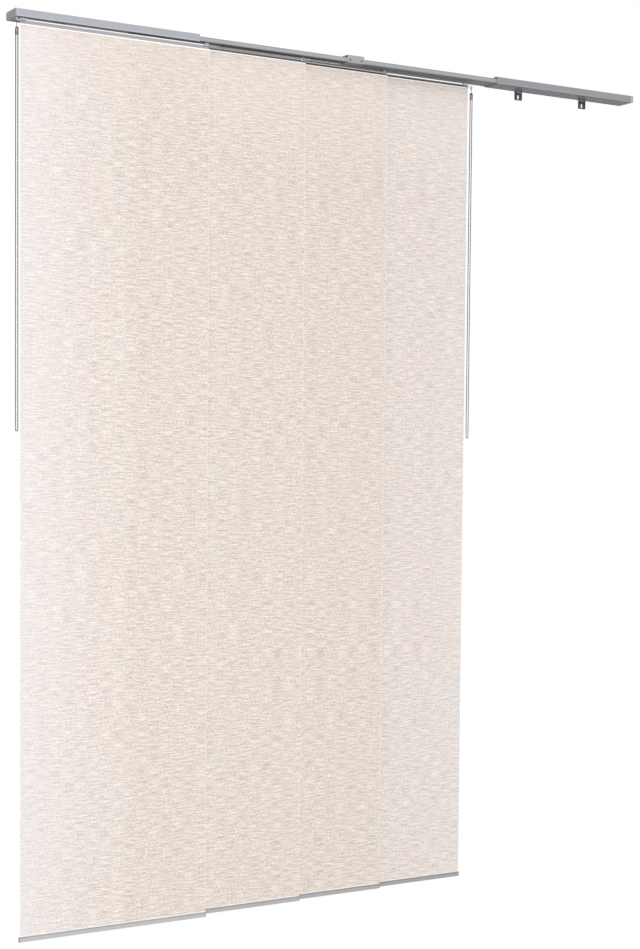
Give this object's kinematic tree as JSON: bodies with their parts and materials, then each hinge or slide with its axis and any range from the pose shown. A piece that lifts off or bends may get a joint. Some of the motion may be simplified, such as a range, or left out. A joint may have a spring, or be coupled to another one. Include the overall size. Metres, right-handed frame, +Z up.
{
  "type": "panel track blind",
  "caption": "Sliding panel track blind: translucent woven panels on carrier strips in a telescopic multi-channel aluminium track, with clear draw wands and wall brackets.",
  "frame": {"origin": "wall face of the leftmost bracket, level with the track's underside and midway between the bracket's two screw slots", "axes": "+X along the track to the right as seen from the room, +Y towards the wall, +Z up"},
  "size_m": [2.1842, 0.0775, 2.5866],
  "materials": {
    "rail": "satin anodised",
    "inner_rail": "satin anodised, finely grooved",
    "sleeve": "satin anodised",
    "cap_plastic": "moulded, fine texture",
    "dark_steel": "blackened",
    "bracket": "satin powder coat",
    "clip": "zinc plated",
    "fabric": "translucent slub weave",
    "carrier": "mill, drawn along its length",
    "tape": "hook tape",
    "clear_plastic": "clear moulding",
    "nylon": "natural nylon",
    "bar": "satin anodised",
    "bar_cap": "moulded",
    "wire": "bright wire",
    "wand_cap": "smoked clear moulding",
    "wand": "clear acrylic"
  },
  "bodies": {
    "left_track": {"left_outer_rail": "rail", "left_end_cap": "cap_plastic", "bracket_1": "bracket", "bracket_2": "bracket", "rail_clip_1": "clip", "rail_clip_2": "clip"},
    "middle_track": {"inner_left_1": "inner_rail", "inner_left_2": "inner_rail", "inner_left_3": "inner_rail", "inner_left_4": "inner_rail", "inner_right_1": "inner_rail", "inner_right_2": "inner_rail", "inner_right_3": "inner_rail", "inner_right_4": "inner_rail", "joining_sleeve": "sleeve", "sleeve_screws": "dark_steel"},
    "right_track": {"right_outer_rail": "rail", "right_end_cap": "cap_plastic", "bracket_3": "bracket", "bracket_4": "bracket", "rail_clip_3": "clip", "rail_clip_4": "clip"},
    "panel_1": {"fabric_1": "fabric", "carrier_1": "carrier", "tape_1": "tape", "left_hanger_1": "clear_plastic", "right_hanger_1": "clear_plastic", "gliders_1": "nylon", "bottom_bar_1": "bar", "bar_caps_1": "bar_cap"},
    "panel_2": {"fabric_2": "fabric", "carrier_2": "carrier", "tape_2": "tape", "left_hanger_2": "clear_plastic", "right_hanger_2": "clear_plastic", "gliders_2": "nylon", "bottom_bar_2": "bar", "bar_caps_2": "bar_cap"},
    "panel_3": {"fabric_3": "fabric", "carrier_3": "carrier", "tape_3": "tape", "left_hanger_3": "clear_plastic", "right_hanger_3": "clear_plastic", "gliders_3": "nylon", "bottom_bar_3": "bar", "bar_caps_3": "bar_cap"},
    "panel_4": {"fabric_4": "fabric", "carrier_4": "carrier", "tape_4": "tape", "left_hanger_4": "clear_plastic", "right_hanger_4": "clear_plastic", "gliders_4": "nylon", "bottom_bar_4": "bar", "bar_caps_4": "bar_cap"},
    "left_wire": {"left_hook": "wire"},
    "left_wand": {"left_wand_cap": "wand_cap", "left_wand_rod": "wand"},
    "right_wire": {"right_hook": "wire"},
    "right_wand": {"right_wand_cap": "wand_cap", "right_wand_rod": "wand"}
  },
  "joints": [
    {"name": "middle_track_slide", "type": "slide", "parent": "left_track", "child": "middle_track", "axis": [1, 0, 0], "range_m": [-0.495, 0]},
    {"name": "right_track_slide", "type": "slide", "parent": "middle_track", "child": "right_track", "axis": [1, 0, 0], "range_m": [-0.495, 0]},
    {"name": "panel_1_slide", "type": "slide", "parent": "left_track", "child": "panel_1", "axis": [1, 0, 0], "range_m": [0, 1.571]},
    {"name": "panel_2_slide", "type": "slide", "parent": "left_track", "child": "panel_2", "axis": [1, 0, 0], "range_m": [-0.331, 1.24]},
    {"name": "panel_3_slide", "type": "slide", "parent": "left_track", "child": "panel_3", "axis": [1, 0, 0], "range_m": [-0.634, 0.937]},
    {"name": "panel_4_slide", "type": "slide", "parent": "left_track", "child": "panel_4", "axis": [1, 0, 0], "range_m": [-0.9505, 0.6205]},
    {"name": "left_hook_swing", "type": "hinge", "parent": "panel_1", "child": "left_wire", "pos_m": [-0.1553, -0.07265, -0.0095], "axis": [0, -1, 0], "range_deg": [-45, 45]},
    {"name": "left_wand_tilt", "type": "hinge", "parent": "left_wire", "child": "left_wand", "pos_m": [-0.1553, -0.07265, -0.0317], "axis": [-1, 0, 0], "range_deg": [0, 60]},
    {"name": "right_hook_swing", "type": "hinge", "parent": "panel_4", "child": "right_wire", "pos_m": [1.3988, -0.02165, -0.0095], "axis": [0, -1, 0], "range_deg": [-45, 45]},
    {"name": "right_wand_tilt", "type": "hinge", "parent": "right_wire", "child": "right_wand", "pos_m": [1.3988, -0.02165, -0.0317], "axis": [-1, 0, 0], "range_deg": [0, 60]}
  ]
}
